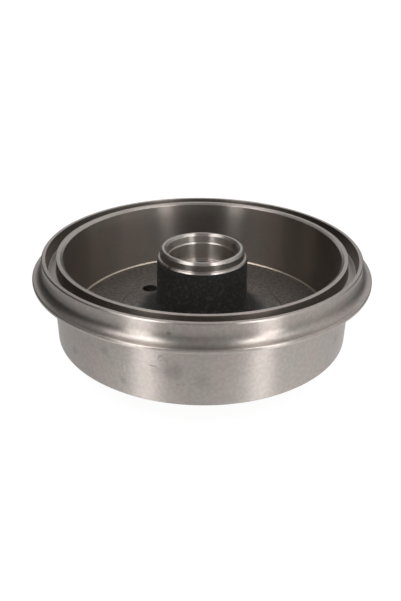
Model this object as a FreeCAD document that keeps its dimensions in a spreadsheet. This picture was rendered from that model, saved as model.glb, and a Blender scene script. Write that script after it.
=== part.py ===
"""Rear brake drum with an integral hub, cast in grey iron and turned, as one solid.

Millimetres. The origin is the middle of the wheel bolt circle on the wheel mounting face, with +Z along
the wheel axis towards the open, inboard side. The nose that carries the wheel reaches below the origin.

The casting is turned about one axis, so four half sections make it: the drum with its web, wall and lip
flange, the hub, the groove that the backplate's rim runs in, and the stepped bore with its two bearing
seats. The cove and the chamfers follow, then the ring of stud holes.
"""
import FreeCAD, Part
import Sketcher
import os

# Driving dimensions. Radial sizes start from the friction diameter, the bearing seats and the stud circle,
# and go on as wall thicknesses, so that each one can change by itself.
SIZES = {
    # friction ring
    "friction_diameter": 203.2,
    "drum_wall": 9.3,
    "rim_wall": 5.1,
    "rim_height": 63.7,
    "rim_chamfer": 1.4,
    # web between the wall and the hub, with its raised pads on both faces
    "web_thickness": 9.5,
    "wheel_pad_height": 1.0,
    "wheel_pad_margin": 21.0,
    "stud_pad_height": 2.0,
    "stud_pad_margin": 9.0,
    "run_out_width": 7.6,
    "run_out_depth": 0.5,
    "floor_corner": 1.0,
    "outer_chamfer": 1.0,
    # lip flange round the open side, and the groove inside it
    "groove_width": 7.6,
    "groove_depth": 10.1,
    "groove_draft": 0.8,
    "lip_wall": 3.0,
    "lip_rise": 0.6,
    "lip_edge": 0.7,
    "flange_drop": 13.1,
    "flange_reach": 7.6,
    "flange_thickness": 2.5,
    "flange_edge": 0.4,
    "flange_root": 4.0,
    "cove_radius": 6.0,
    # hub outside, inboard of the web
    "hub_height": 63.6,
    "hub_wall": 6.57,
    "hub_top_chamfer": 1.6,
    "hub_turned_length": 6.0,
    "hub_ledge": 2.3,
    "hub_ledge_chamfer": 1.6,
    "hub_draft": 1.7,
    "hub_root": 12.0,
    "hub_root_hollow": 3.5,
    # stepped bore, from the inboard end to the nose
    "seal_step": 0.87,
    "seal_length": 6.6,
    "seal_lead_width": 2.4,
    "seal_lead_depth": 1.8,
    "inner_seat_diameter": 50.26,
    "inner_seat_lead": 0.9,
    "inner_seat_length": 13.2,
    "inner_shoulder": 3.6,
    "waist_cone_length": 3.0,
    "outer_shoulder": 3.1,
    "outer_shoulder_length": 3.0,
    "outer_shoulder_height": 3.0,
    "outer_seat_diameter": 45.2,
    "outer_seat_length": 13.0,
    "cap_step": 0.9,
    "cap_seat_length": 8.0,
    "cap_lead": 0.8,
    # nose that the wheel is centred on
    "spigot_diameter": 63.3,
    "spigot_length": 9.8,
    "spigot_step": 2.2,
    "nose_chamfer": 1.0,
    # wheel studs
    "stud_circle": 108.0,
    "stud_count": 4,
    "stud_hole_diameter": 12.0,
    "stud_angle": 45.0,
}

document = FreeCAD.newDocument("brake_drum")
sheet = document.addObject("Spreadsheet::Sheet", "sizes")
for row, (alias, number) in enumerate(SIZES.items(), 1):
    sheet.set("A%d" % row, alias)
    sheet.set("B%d" % row, str(number))
    sheet.setAlias("B%d" % row, alias)
document.recompute()

# Radii and heights that several features share, as formulas of the sheet's cells.
FRICTION = "sizes.friction_diameter / 2"
WALL = FRICTION + " + sizes.drum_wall"
RIM = FRICTION + " + sizes.rim_wall"
LIP_INSIDE = RIM + " + sizes.groove_width"
LIP = LIP_INSIDE + " + sizes.lip_wall"
FLANGE = LIP + " + sizes.flange_reach"
LIP_TOP = "sizes.rim_height + sizes.lip_rise"
FLANGE_TOP = LIP_TOP + " - sizes.flange_drop"
FLANGE_UNDERSIDE = FLANGE_TOP + " - sizes.flange_thickness"
GROOVE_FLOOR = LIP_TOP + " - sizes.groove_depth"
WEB_FACE = "sizes.wheel_pad_height"
FLOOR = WEB_FACE + " + sizes.web_thickness"
RUN_OUT = FLOOR + " - sizes.run_out_depth"
STUD_PAD = FLOOR + " + sizes.stud_pad_height"
WHEEL_PAD_RADIUS = "sizes.stud_circle / 2 + sizes.wheel_pad_margin"
STUD_PAD_RADIUS = "sizes.stud_circle / 2 + sizes.stud_pad_margin"
INNER_SEAT = "sizes.inner_seat_diameter / 2"
SEAL_SEAT = INNER_SEAT + " + sizes.seal_step"
TURNED = INNER_SEAT + " + sizes.hub_wall"
CAST = TURNED + " + sizes.hub_ledge"
LEDGE = "sizes.hub_height - sizes.hub_turned_length"
CAST_TOP = LEDGE + " - sizes.hub_ledge_chamfer"
ROOT_TOP = STUD_PAD + " + sizes.hub_root"
HUB_FOOT = CAST + " + (" + CAST_TOP + " - (" + ROOT_TOP + ")) * tan(sizes.hub_draft * 1 deg)"
ROOT_REACH = HUB_FOOT + " + sizes.hub_root"
SEAL_END = "sizes.hub_height - sizes.seal_length"
INNER_SEAT_END = SEAL_END + " - sizes.inner_seat_lead - sizes.inner_seat_length"
OUTER_SEAT = "sizes.outer_seat_diameter / 2"
CAP_SEAT = OUTER_SEAT + " + sizes.cap_step"
SPIGOT = "sizes.spigot_diameter / 2"
NOSE = SPIGOT + " - sizes.spigot_step"
NOSE_SHOULDER = "-sizes.spigot_length - sizes.spigot_step"
OUTER_SEAT_TOP = "sizes.outer_shoulder_height"
CAP_SEAT_TOP = OUTER_SEAT_TOP + " - sizes.outer_seat_length"
NOSE_END = CAP_SEAT_TOP + " - sizes.cap_seat_length"
WAIST = INNER_SEAT + " - sizes.inner_shoulder"
WAIST_LOW = OUTER_SEAT + " - sizes.outer_shoulder"
WAIST_CONE_LOW = OUTER_SEAT_TOP + " + sizes.outer_shoulder_length"
WAIST_CONE_TOP = WAIST_CONE_LOW + " + sizes.waist_cone_length"


def number_of(formula):
    """The number that a formula of the sheet's cells comes to."""
    return float(sheet.evalExpression(formula))


def origin_part(body, role):
    """The origin plane or axis of a body with the given role."""
    return next(part for part in body.Origin.OriginFeatures if part.Role == role)


def half_section(body, name, corners):
    """A closed outline in the XZ plane whose corners are (radius, height) formulas."""
    sketch = body.newObject("Sketcher::SketchObject", name)
    sketch.AttachmentSupport = (origin_part(body, "XZ_Plane"), "")
    sketch.MapMode = "FlatFace"
    points = [FreeCAD.Vector(number_of(radius), number_of(height), 0) for radius, height in corners]
    for start, end in zip(points, points[1:] + points[:1]):
        sketch.addGeometry(Part.LineSegment(start, end), False)
    for index, (point, formulas) in enumerate(zip(points, corners)):
        following = (index + 1) % len(corners)
        sketch.addConstraint(Sketcher.Constraint("Coincident", index, 2, following, 1))
        for kind, start, formula in zip(("DistanceX", "DistanceY"), (point.x, point.y), formulas):
            held = sketch.addConstraint(Sketcher.Constraint(kind, -1, 1, index, 1, start))
            sketch.setExpression("Constraints[%d]" % held, formula)
    return sketch


def turned(body, kind, name, corners):
    """A feature turned about the wheel axis, added as a Revolution or cut as a Groove."""
    sketch = half_section(body, name + "_section", corners)
    feature = body.newObject("PartDesign::" + kind, name)
    feature.Profile = sketch
    feature.ReferenceAxis = (origin_part(body, "Z_Axis"), [""])
    feature.Angle = 360.0
    document.recompute()
    return feature


def rings(shape, places):
    """Names of the circular edges at the given (radius, height) places."""
    names = []
    for radius, height in places:
        radius = number_of(radius)
        height = number_of(height)
        for index, edge in enumerate(shape.Edges, 1):
            curve = edge.Curve
            if not isinstance(curve, Part.Circle):
                continue
            if abs(curve.Radius - radius) < 1e-4 and abs(curve.Center.z - height) < 1e-4:
                names.append("Edge%d" % index)
                break
        else:
            raise ValueError("no ring of radius %.3f at height %.3f" % (radius, height))
    return names


def dress(body, kind, name, size, places):
    """A Fillet or Chamfer of one size along rings of the body's newest feature."""
    base = body.Tip
    feature = body.newObject("PartDesign::" + kind, name)
    feature.Base = (base, rings(base.Shape, places))
    feature.setExpression("Radius" if kind == "Fillet" else "Size", size)
    document.recompute()
    return feature


def make_drum(body):
    """Web, friction wall, rim, lip and flange, with the groove still filled."""
    turned(body, "Revolution", "drum", [
        ("0", "0"),
        (WHEEL_PAD_RADIUS, "0"),
        (WHEEL_PAD_RADIUS + " + sizes.wheel_pad_height", WEB_FACE),
        (WALL, WEB_FACE),
        (WALL, FLANGE_UNDERSIDE),
        (FLANGE, FLANGE_UNDERSIDE),
        (FLANGE, FLANGE_TOP),
        (LIP, FLANGE_TOP),
        (LIP, LIP_TOP),
        (RIM, LIP_TOP),
        (RIM, "sizes.rim_height"),
        (FRICTION, "sizes.rim_height"),
        (FRICTION, RUN_OUT),
        (FRICTION + " - sizes.run_out_width", RUN_OUT),
        (FRICTION + " - sizes.run_out_width - sizes.run_out_depth", FLOOR),
        (STUD_PAD_RADIUS + " + sizes.stud_pad_height", FLOOR),
        (STUD_PAD_RADIUS, STUD_PAD),
        ("0", STUD_PAD),
    ])


def make_hub(body):
    """Cast hub with its flared root, draft and turned end, and the nose with the wheel spigot."""
    turned(body, "Revolution", "hub", [
        ("0", NOSE_END),
        (NOSE + " - sizes.nose_chamfer", NOSE_END),
        (NOSE, NOSE_END + " + sizes.nose_chamfer"),
        (NOSE, NOSE_SHOULDER),
        (SPIGOT, "-sizes.spigot_length"),
        (SPIGOT, "0"),
        (ROOT_REACH, "0"),
        (ROOT_REACH, STUD_PAD),
        (HUB_FOOT + " + sizes.hub_root_hollow", STUD_PAD + " + sizes.hub_root_hollow"),
        (HUB_FOOT, ROOT_TOP),
        (CAST, CAST_TOP),
        (CAST + " - sizes.hub_ledge_chamfer", LEDGE),
        (TURNED, LEDGE),
        (TURNED, "sizes.hub_height - sizes.hub_top_chamfer"),
        (TURNED + " - sizes.hub_top_chamfer", "sizes.hub_height"),
        ("0", "sizes.hub_height"),
    ])


def cut_groove(body):
    """Annular groove behind the lip, a little narrower at its floor."""
    turned(body, "Groove", "backplate_groove", [
        (RIM + " + sizes.groove_draft", GROOVE_FLOOR),
        (LIP_INSIDE + " - sizes.groove_draft", GROOVE_FLOOR),
        (LIP_INSIDE, LIP_TOP),
        (RIM, LIP_TOP),
        (RIM, "sizes.rim_height"),
    ])


def cut_bore(body):
    """Seal seat, two bearing seats with the waist between them, and the cap seat."""
    turned(body, "Groove", "stepped_bore", [
        ("0", NOSE_END),
        (CAP_SEAT + " + sizes.cap_lead", NOSE_END),
        (CAP_SEAT, NOSE_END + " + sizes.cap_lead"),
        (CAP_SEAT, CAP_SEAT_TOP),
        (OUTER_SEAT, CAP_SEAT_TOP),
        (OUTER_SEAT, OUTER_SEAT_TOP),
        (WAIST_LOW, OUTER_SEAT_TOP),
        (WAIST_LOW, WAIST_CONE_LOW),
        (WAIST, WAIST_CONE_TOP),
        (WAIST, INNER_SEAT_END),
        (INNER_SEAT, INNER_SEAT_END),
        (INNER_SEAT, SEAL_END + " - sizes.inner_seat_lead"),
        (SEAL_SEAT, SEAL_END),
        (SEAL_SEAT, "sizes.hub_height - sizes.seal_lead_depth"),
        (SEAL_SEAT + " + sizes.seal_lead_width", "sizes.hub_height"),
        ("0", "sizes.hub_height"),
    ])


def ease_edges(body):
    """The cove under the lip, the flange's root and the breaks on the turned edges."""
    dress(body, "Fillet", "cove", "sizes.cove_radius", [(LIP, FLANGE_TOP)])
    dress(body, "Chamfer", "flange_root_flare", "sizes.flange_root", [(WALL, FLANGE_UNDERSIDE)])
    dress(body, "Chamfer", "floor_corner_relief", "sizes.floor_corner", [(FRICTION, RUN_OUT)])
    dress(body, "Chamfer", "flange_edges", "sizes.flange_edge", [
        (FLANGE, FLANGE_UNDERSIDE),
        (FLANGE, FLANGE_TOP),
    ])
    dress(body, "Chamfer", "rim_lead_in", "sizes.rim_chamfer", [(FRICTION, "sizes.rim_height")])
    dress(body, "Chamfer", "lip_edge_chamfer", "sizes.lip_edge", [(LIP, LIP_TOP)])
    dress(body, "Chamfer", "outer_corner", "sizes.outer_chamfer", [(WALL, WEB_FACE)])


def drill_stud_holes(body):
    """One hole through the web, repeated round the circle."""
    sketch = body.newObject("Sketcher::SketchObject", "stud_place")
    sketch.AttachmentSupport = (origin_part(body, "XY_Plane"), "")
    sketch.MapMode = "FlatFace"
    sketch.setExpression("AttachmentOffset.Base.z", STUD_PAD)
    angle = number_of("sizes.stud_angle")
    centre = FreeCAD.Rotation(FreeCAD.Vector(0, 0, 1), angle).multVec(
        FreeCAD.Vector(number_of("sizes.stud_circle / 2"), 0, 0))
    arm = sketch.addGeometry(Part.LineSegment(FreeCAD.Vector(0, 0, 0), centre), True)
    outline = sketch.addGeometry(
        Part.Circle(centre, FreeCAD.Vector(0, 0, 1), number_of("sizes.stud_hole_diameter / 2")), False)
    sketch.addConstraint(Sketcher.Constraint("Coincident", arm, 1, -1, 1))
    sketch.addConstraint(Sketcher.Constraint("Coincident", outline, 3, arm, 2))
    for constraint, formula in (
        (Sketcher.Constraint("Distance", arm, centre.Length), "sizes.stud_circle / 2"),
        (Sketcher.Constraint("Angle", -1, 1, arm, 1, FreeCAD.Units.Quantity(angle, "deg")),
         "sizes.stud_angle * 1 deg"),
        (Sketcher.Constraint("Diameter", outline, number_of("sizes.stud_hole_diameter")),
         "sizes.stud_hole_diameter"),
    ):
        held = sketch.addConstraint(constraint)
        sketch.setExpression("Constraints[%d]" % held, formula)
    document.recompute()
    hole = body.newObject("PartDesign::Hole", "stud_hole")
    hole.Profile = sketch
    document.recompute()
    hole.setExpression("Diameter", "sizes.stud_hole_diameter")
    hole.DepthType = "ThroughAll"
    hole.DrillPoint = "Flat"
    document.recompute()
    pattern = body.newObject("PartDesign::PolarPattern", "stud_holes")
    pattern.Originals = [hole]
    pattern.Axis = (origin_part(body, "Z_Axis"), [""])
    pattern.Angle = 360.0
    pattern.setExpression("Occurrences", "sizes.stud_count")
    body.Tip = pattern
    document.recompute()


body = document.addObject("PartDesign::Body", "brake_drum")
body.Label = "brake_drum"
body.Placement = FreeCAD.Placement()
make_drum(body)
make_hub(body)
before_cuts = body.Shape.Volume
cut_groove(body)
after_groove = body.Shape.Volume
cut_bore(body)
after_bore = body.Shape.Volume
ease_edges(body)
before_holes = body.Shape.Volume
drill_stud_holes(body)
after_holes = body.Shape.Volume

for item in document.Objects:
    if "Invalid" in item.State or "Error" in item.State:
        raise RuntimeError("%s failed: %s" % (item.Name, item.State))
for step, (larger, smaller) in {
    "groove": (before_cuts, after_groove),
    "bore": (after_groove, after_bore),
    "stud holes": (before_holes, after_holes),
}.items():
    if smaller > larger - 1:
        raise RuntimeError("the %s cut nothing" % step)
if body.Shape.isNull() or not body.Shape.isValid():
    raise RuntimeError("the drum's shape is not valid")

os.makedirs("parts", exist_ok=True)
body.Shape.exportStep("parts/%s.step" % body.Label)
box = body.Shape.optimalBoundingBox()
print("brake_drum: %d solid, %.1f cm3, box %.1f x %.1f x %.1f mm, from z %.1f to %.1f"
      % (len(body.Shape.Solids), body.Shape.Volume / 1000, box.XLength, box.YLength, box.ZLength,
         box.ZMin, box.ZMax))
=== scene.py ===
# %% [markdown]
# # A turned brake drum
#
# The real thing is one grey iron casting with its hub in one piece. A lathe has cut nearly all of
# it: the wall that the shoes press on, the rim, the groove for the backplate, the thin lip flange
# and the hub's end. Only the side and the root of the hub keep their black cast skin.
#
# This lesson builds it as one closed surface of revolution and spends its effort on the finishes,
# because a plain turned part lives from its tool marks, its soft edges and the way that those
# marks stretch a highlight.
#
# The first step loads the engineering model. It fixes the place and the size of everything that
# follows.

import math

import bpy
import numpy as np
from mathutils import Matrix, Vector


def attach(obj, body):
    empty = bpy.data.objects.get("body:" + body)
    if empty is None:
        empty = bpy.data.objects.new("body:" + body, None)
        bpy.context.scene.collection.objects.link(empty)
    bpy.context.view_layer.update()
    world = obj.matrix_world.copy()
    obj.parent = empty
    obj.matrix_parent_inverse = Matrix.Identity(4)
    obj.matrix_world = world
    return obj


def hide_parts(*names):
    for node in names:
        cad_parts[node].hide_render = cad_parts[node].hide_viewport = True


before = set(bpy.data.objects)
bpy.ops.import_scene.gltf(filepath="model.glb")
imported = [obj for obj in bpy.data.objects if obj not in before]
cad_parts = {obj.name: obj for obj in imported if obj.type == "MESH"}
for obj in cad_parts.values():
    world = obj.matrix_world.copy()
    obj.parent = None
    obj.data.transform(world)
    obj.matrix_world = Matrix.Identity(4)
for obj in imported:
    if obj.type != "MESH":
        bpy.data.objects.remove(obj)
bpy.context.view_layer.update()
MM = 0.001

# %% [markdown]
# ## The half section
#
# Everything on the drum is turned about one axis, so its shape is one closed outline in radius and
# height. Each corner gets its place, the radius that breaks or fills it, and the finish of the run
# that follows it. A real edge is never perfectly sharp, and even a break of 0.2 mm catches a line
# of light, so no corner is left at zero except where two runs are in one line.
#
# One corner has a radius of 90 mm. There the friction wall starts to open towards its mouth, by
# less than a millimetre, and so large a radius lets the lean come in with no line on the wall.
#
# A spin or screw modifier could turn a drawn curve, but numbers in a table are easier to check
# against the engineering model.

# %% Corners of the outline
OUTER_WALL = 110.9
FRICTION_WALL = 101.6
LIP_WALL = 117.3
FLANGE = 124.9
SPIGOT = 31.65
PAD_TOP = 12.5        # height of the pad round the hub, inside the drum, mm
HUB_STEP = 0.85       # height between the stations on the hub's side, mm

# radius mm, height mm, corner radius mm, finish of the run that follows, longest step mm
WHEEL_SIDE = [
    (SPIGOT, 0.0, 0.5, "turned", 7.0),
    (46.4, 0.0, 0.0, "turned", 1.35),
    (61.6, 0.0, 0.0, "turned", 6.0),
    (75.0, 0.0, 0.25, "turned", 1.0),
    (76.0, 1.0, 0.3, "rough", 6.0),
    # from this corner the chamfer up to the outer wall is black: painted shade along the drum's
    # bottom edge
    (109.9, 1.0, 0.4, "skin_edge", 1.0),
    (OUTER_WALL, 2.0, 0.3, "turned", 7.0),
]
LIP_AND_GROOVE = [
    (OUTER_WALL, 48.7, 6.0, "turned", 3.0),
    (FLANGE, 48.7, 0.4, "turned", 1.0),
    (FLANGE, 51.2, 0.8, "turned", 1.0),
    (LIP_WALL, 51.2, 6.0, "turned", 2.5),
    (LIP_WALL, 63.6, 0.2, "turned", 1.0),
    (116.6, 64.3, 0.2, "turned", 1.2),
    # the groove's two walls take the dark rough finish, as painted shade in the groove
    (114.3, 64.3, 0.2, "rough", 5.0),
    (113.5, 54.2, 0.8, "turned", 2.0),
    (107.5, 54.2, 0.8, "rough", 5.0),
    (106.85, 63.85, 0.2, "turned", 1.3),
    (104.2, 63.85, 0.4, "turned", 1.0),
]
INSIDE = [
    (102.3, 62.5, 0.4, "friction", 7.0),
    (FRICTION_WALL, 54.5, 90.0, "friction", 7.0),
    # the chamfer at the wall's foot gets the light foot finish, a painted highlight
    (FRICTION_WALL, 11.0, 0.6, "foot", 1.0),
    (100.6, 10.0, 0.6, "floor", 2.5),
    (94.0, 10.0, 0.2, "floor", 0.5),
    (93.5, 10.5, 0.2, "floor", 3.2),
    (65.0, 10.5, 0.8, "floor", 1.0),
    (63.0, PAD_TOP, 0.6, "floor", 1.25),
    (35.291, PAD_TOP, 12.0, "skin", HUB_STEP),
    (34.0, 56.0, 0.4, "hub_end", 0.8),
    (33.05, 56.95, 0.3, "hub_end", 0.8),
    (31.7, 57.25, 0.25, "hub_end", 1.5),
    (31.7, 62.0, 0.4, "hub_end", 1.0),
    (30.1, 63.6, 0.25, "hub_end", 0.9),
]
BORE_AND_NOSE = [
    (28.4, 63.6, 0.25, "hub_end", 1.0),
    (26.75, 62.0, 0.4, "bearing_seat", 2.0),
    (26.0, 57.0, 0.2, "hub_end", 0.8),
    (25.13, 56.1, 0.3, "bearing_seat", 5.0),
    (25.13, 42.9, 0.3, "hub_end", 1.8),
    (21.53, 42.9, 0.6, "rough", 5.0),
    (21.53, 9.0, 2.0, "rough", 1.5),
    (19.5, 6.0, 1.0, "rough", 1.5),
    (19.5, 3.0, 0.5, "hub_end", 1.6),
    (22.6, 3.0, 0.3, "bearing_seat", 6.0),
    (22.6, -10.0, 0.2, "hub_end", 0.9),
    (23.5, -10.0, 0.2, "hub_end", 3.0),
    (23.5, -17.2, 0.3, "hub_end", 0.9),
    (24.3, -18.0, 0.2, "turned", 2.0),
    (28.45, -18.0, 0.3, "turned", 1.0),
    (29.45, -17.0, 0.3, "turned", 2.5),
    (29.45, -12.0, 0.6, "turned", 1.2),
    (SPIGOT, -9.8, 0.4, "turned", 3.0),
]
OUTLINE = WHEEL_SIDE + LIP_AND_GROOVE + INSIDE + BORE_AND_NOSE
print("corners in the outline:", len(OUTLINE))

# %% [markdown]
# ## From corners to stations
#
# A corner of radius R between two straight runs touches them at R / tan(half the angle between the
# runs). Its arc is cut into a few chords, more for the large cove and the hub's root. The straight
# runs get a station just beside each arc, so that smooth shading bends only at the corner and the
# flats stay flat.

# %% Arcs in the corners
LARGE_RADIUS = 1.5                # corners rounder than this get fine arcs, mm
FINE_TURN = math.radians(7.5)     # what one chord of a fine arc turns through
COARSE_TURN = math.radians(32)    # and one of any other arc


def unit(vectors):
    """Vectors along the last axis, each divided by its own length."""
    return vectors / np.linalg.norm(vectors, axis=-1, keepdims=True)


def corner_arcs(outline):
    """Arc points of every corner. A point is centre + (start sin((1-k)a) + end sin(ka)) / sin(a),
    with k from 0 to 1 along the arc and a the angle that it turns through."""
    corners = np.array([c[:2] for c in outline])
    radii = np.array([c[2] for c in outline])
    back = unit(np.roll(corners, 1, axis=0) - corners)
    ahead = unit(np.roll(corners, -1, axis=0) - corners)
    angles_between = np.arccos(np.clip((back * ahead).sum(1), -1, 1))
    arcs = []
    for corner, radius, b, a, angle in zip(corners, radii, back, ahead, angles_between):
        if radius == 0:
            arcs.append(corner[None])
            continue
        reach = radius / math.tan(angle / 2)
        centre = corner + unit(a + b) * radius / math.sin(angle / 2)
        turn = math.pi - angle
        chords = max(2, round(turn / (FINE_TURN if radius > LARGE_RADIUS else COARSE_TURN)))
        k = np.linspace(0, 1, chords + 1)[:, None]
        start = (corner + b * reach - centre) * np.sin((1 - k) * turn)
        end = (corner + a * reach - centre) * np.sin(k * turn)
        arcs.append(centre + (start + end) / math.sin(turn))
    return arcs


arcs = corner_arcs(OUTLINE)
print("points on the arcs:", sum(len(arc) for arc in arcs))

# %% Stations along the outline
GUARD = 0.28      # distance from an arc to its guard station, mm
LONG_RUN = 1.9    # shorter runs need no guards, mm
TINY = 1e-6       # two places nearer than this are one, mm


def stations_of(outline, arcs):
    """Stations round the outline: places (mm), the finish of the strip that follows each, and how
    much each lies on a broken edge (1 on a corner's arc, 0 on a run)."""
    places, finishes, edges = [], [], []
    for index, arc in enumerate(arcs):
        before, (_, _, radius, finish, step) = outline[index - 1][3], outline[index]
        middle = len(arc) // 2
        places.append(arc)
        finishes += [before] * middle + [finish] * (len(arc) - middle)
        edges += [1.0 if 0 < radius < LARGE_RADIUS else 0.0] * len(arc)
        following = (index + 1) % len(arcs)
        start, end = arc[-1], arcs[following][0]
        length = np.linalg.norm(end - start)
        guard = GUARD if length > LONG_RUN and (radius or outline[following][2]) else 0
        steps = max(1, math.ceil((length - 2 * guard) / step))
        run = np.linspace(guard, length - guard, steps + 1)
        run = run[(run > TINY) & (run < length - TINY)]
        places.append(start + (end - start) * (run / length)[:, None])
        finishes += [finish] * len(run)
        edges += [0.0] * len(run)
    return np.concatenate(places), finishes, np.array(edges)


section, strip_finish, section_edge = stations_of(OUTLINE, arcs)
print("stations:", len(section))

# %% [markdown]
# ## Cast skin
#
# Sand leaves a skin of small lumps, a tenth or two of a millimetre high. Bump alone would leave the
# outline of the hub ruler-straight, so the lumps go into the mesh. Random numbers on the grid are
# filtered so that only waves near a chosen size remain. A filter by Fourier transform wraps round
# by itself, so the lumps meet at the seam.

# %% Lumps for the cast surfaces
AROUND = 240                             # columns round the axis
HUB_RADIUS = 35.0                        # where the lumps' size round the hub is right, mm
CAST_LUMP = 0.06                         # spread of the lumps' height, mm
LUMP_SIZES = [(2.6, 0.7), (9.0, 0.6)]    # size in mm and share of each kind of lump
LUMP_FADE = 5                            # stations over which the lumps fade at the skin's ends
SILENT = 1e-9                            # a frequency so low that the filter removes it
random = np.random.default_rng(11)


def lumps(rows, columns, row_step, column_step, size):
    """Random heights whose waves are about one size across: white noise times
    exp(-(ln(f * size))^2) for each wave of frequency f, brought to a spread of 1."""
    white = random.standard_normal((rows, columns))
    along = np.fft.fftfreq(rows, row_step)[:, None]
    across = np.fft.rfftfreq(columns, column_step)[None]
    frequency = np.hypot(along, across)
    frequency[0, 0] = SILENT
    waves = np.fft.rfft2(white) * np.exp(-np.log(frequency * size) ** 2)
    shaped = np.fft.irfft2(waves, s=white.shape)
    return shaped / shaped.std()


is_cast = np.array([name == "skin" for name in strip_finish], float)
cast_share = np.convolve(is_cast, np.ones(LUMP_FADE) / LUMP_FADE, "same") * is_cast
hub_column = 2 * math.pi * HUB_RADIUS / AROUND
heights = sum(lumps(len(section), AROUND, HUB_STEP, hub_column, size) * share
              for size, share in LUMP_SIZES)
heights *= cast_share[:, None] * CAST_LUMP
print("cast lumps, mm: lowest %.2f, highest %.2f" % (heights.min(), heights.max()))

# %% [markdown]
# ## Turning the outline into a skin
#
# The station at row i and the direction at column j give the point (r cos a, r sin a, z). Both ways
# round the grid come back to where they started, like a ring of dough, so the skin is closed with
# no seam and no pole.
#
# Four stud holes go through the web. A boolean cut would leave long thin faces, which show as
# scratches in a polished surface. Instead a block of the grid is left out round each hole, on both
# faces of the web, and rings of quads lead from the block's border to the round edge and down the
# wall of the hole.

# %% The grid
tangent = unit(np.roll(section, -1, axis=0) - np.roll(section, 1, axis=0))
outward = np.stack([tangent[:, 1], -tangent[:, 0]], 1)
angles = np.arange(AROUND) * 2 * math.pi / AROUND
radial = section[:, 0, None] + outward[:, 0, None] * heights
height = section[:, 1, None] + outward[:, 1, None] * heights
grid = np.stack([radial * np.cos(angles), radial * np.sin(angles), height], -1).reshape(-1, 3)
print("points in the grid:", len(grid))

# %% Blocks round the stud holes
STUDS = 4
STUD_COLUMNS = 6                # half a block's width, in columns
PAD_BLOCK = (47.1, 61.6)        # radii between which a block lies on the pad, mm
WHEEL_BLOCK = (46.39, 61.61)    # and on the wheel side, mm


def rows_between(low, high, level):
    """Rows whose stations lie on a level face between two radii, ordered outwards."""
    on_level = abs(section[:, 1] - level) < TINY
    rows = np.flatnonzero(on_level & (section[:, 0] > low) & (section[:, 0] < high))
    return rows[np.argsort(section[rows, 0])]


def border(rows, first, last):
    """Vertex numbers round a block of the grid: out along its inner row, then round and back."""
    columns = np.arange(first, last + 1) % AROUND
    inner = rows[0] * AROUND + columns[:-1]
    right = rows[:-1] * AROUND + columns[-1]
    outer = rows[-1] * AROUND + columns[:0:-1]
    left = rows[:0:-1] * AROUND + columns[0]
    return np.concatenate([inner, right, outer, left])


pad_rows = rows_between(*PAD_BLOCK, PAD_TOP)
wheel_rows = rows_between(*WHEEL_BLOCK, 0.0)
print("rows in the blocks round the studs:", len(pad_rows), len(wheel_rows))

# %% Rings of points round each hole
STUD_CIRCLE = 54.0                      # radius of the circle that the studs lie on, mm
STUD_HOLE = 6.0                         # radius of a hole, mm
STUD_EDGE = 0.3                         # break of the hole's edges, mm
EDGE_TURN = np.radians([0, 45, 90])     # rings on each broken edge
WALL_LEVELS = np.linspace(PAD_TOP - STUD_EDGE, STUD_EDGE, 6)[1:-1]    # rings on the wall, mm
FACE_SHARES = np.array([0.4, 0.75])     # rings on a face, from the block's border to the edge

opening = STUD_HOLE + STUD_EDGE * (1 - np.sin(EDGE_TURN))
sinking = STUD_EDGE * (1 - np.cos(EDGE_TURN))
hole_sizes = np.concatenate([opening, np.full(len(WALL_LEVELS), STUD_HOLE), opening[::-1]])
hole_levels = np.concatenate([PAD_TOP - sinking, WALL_LEVELS, sinking[::-1]])


def hole_rings(column):
    """The vertex numbers of a block's border on the pad and on the wheel side, and the rings of
    points between them. On a face a ring is border + k (circle - border); on an edge it is a
    quarter circle; on the wall it is a circle at one level."""
    first, last = column - STUD_COLUMNS, column + STUD_COLUMNS
    pad, wheel = border(pad_rows, first, last), border(wheel_rows, first, last)
    centre = STUD_CIRCLE * np.array([math.cos(angles[column]), math.sin(angles[column])])
    pad_way, wheel_way = unit(grid[pad, :2] - centre), unit(grid[wheel, :2] - centre)
    share = np.linspace(0, 1, len(hole_levels))[:, None, None]
    way = unit((1 - share) * pad_way + share * wheel_way)
    levels = np.broadcast_to(hole_levels[:, None], way.shape[:2])
    circles = np.dstack([centre + way * hole_sizes[:, None, None], levels])
    k = FACE_SHARES[:, None, None]
    pad_rings = (1 - k) * grid[pad] + k * circles[0]
    wheel_rings = (1 - k[::-1]) * grid[wheel] + k[::-1] * circles[-1]
    return pad, wheel, np.concatenate([pad_rings, circles, wheel_rings])


stud_columns = [round((index + 0.5) * AROUND / STUDS) for index in range(STUDS)]
print("stud holes at, degrees:", [column * 360 / AROUND for column in stud_columns])

# %% Quads and their finishes
FINISHES = ["turned", "rough", "skin_edge", "friction", "foot", "floor", "skin", "hub_end",
            "bearing_seat"]
FACE_RINGS, EDGE_RINGS = len(FACE_SHARES), len(EDGE_TURN)


def skin_quads(rows, columns):
    """Quads of the closed grid: the corners of each are (row, column), (row, column + 1),
    (row + 1, column + 1) and (row + 1, column), counted round both ways."""
    row, column = np.meshgrid(np.arange(rows), np.arange(columns), indexing="ij")
    below, beside = (row + 1) % rows, (column + 1) % columns
    return np.stack([row * columns + column, row * columns + beside,
                     below * columns + beside, below * columns + column], -1)


def ring_quads(numbers):
    """Quads between rings of vertex numbers, each with its neighbour on the ring and the next."""
    following = np.roll(numbers, -1, axis=1)
    return np.stack([numbers[:-1], numbers[1:], following[1:], following[:-1]], -1).reshape(-1, 4)


def finish_numbers(names, times):
    """The number of each named finish, repeated for the quads of one strip."""
    return np.repeat([FINISHES.index(name) for name in names], times)


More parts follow.
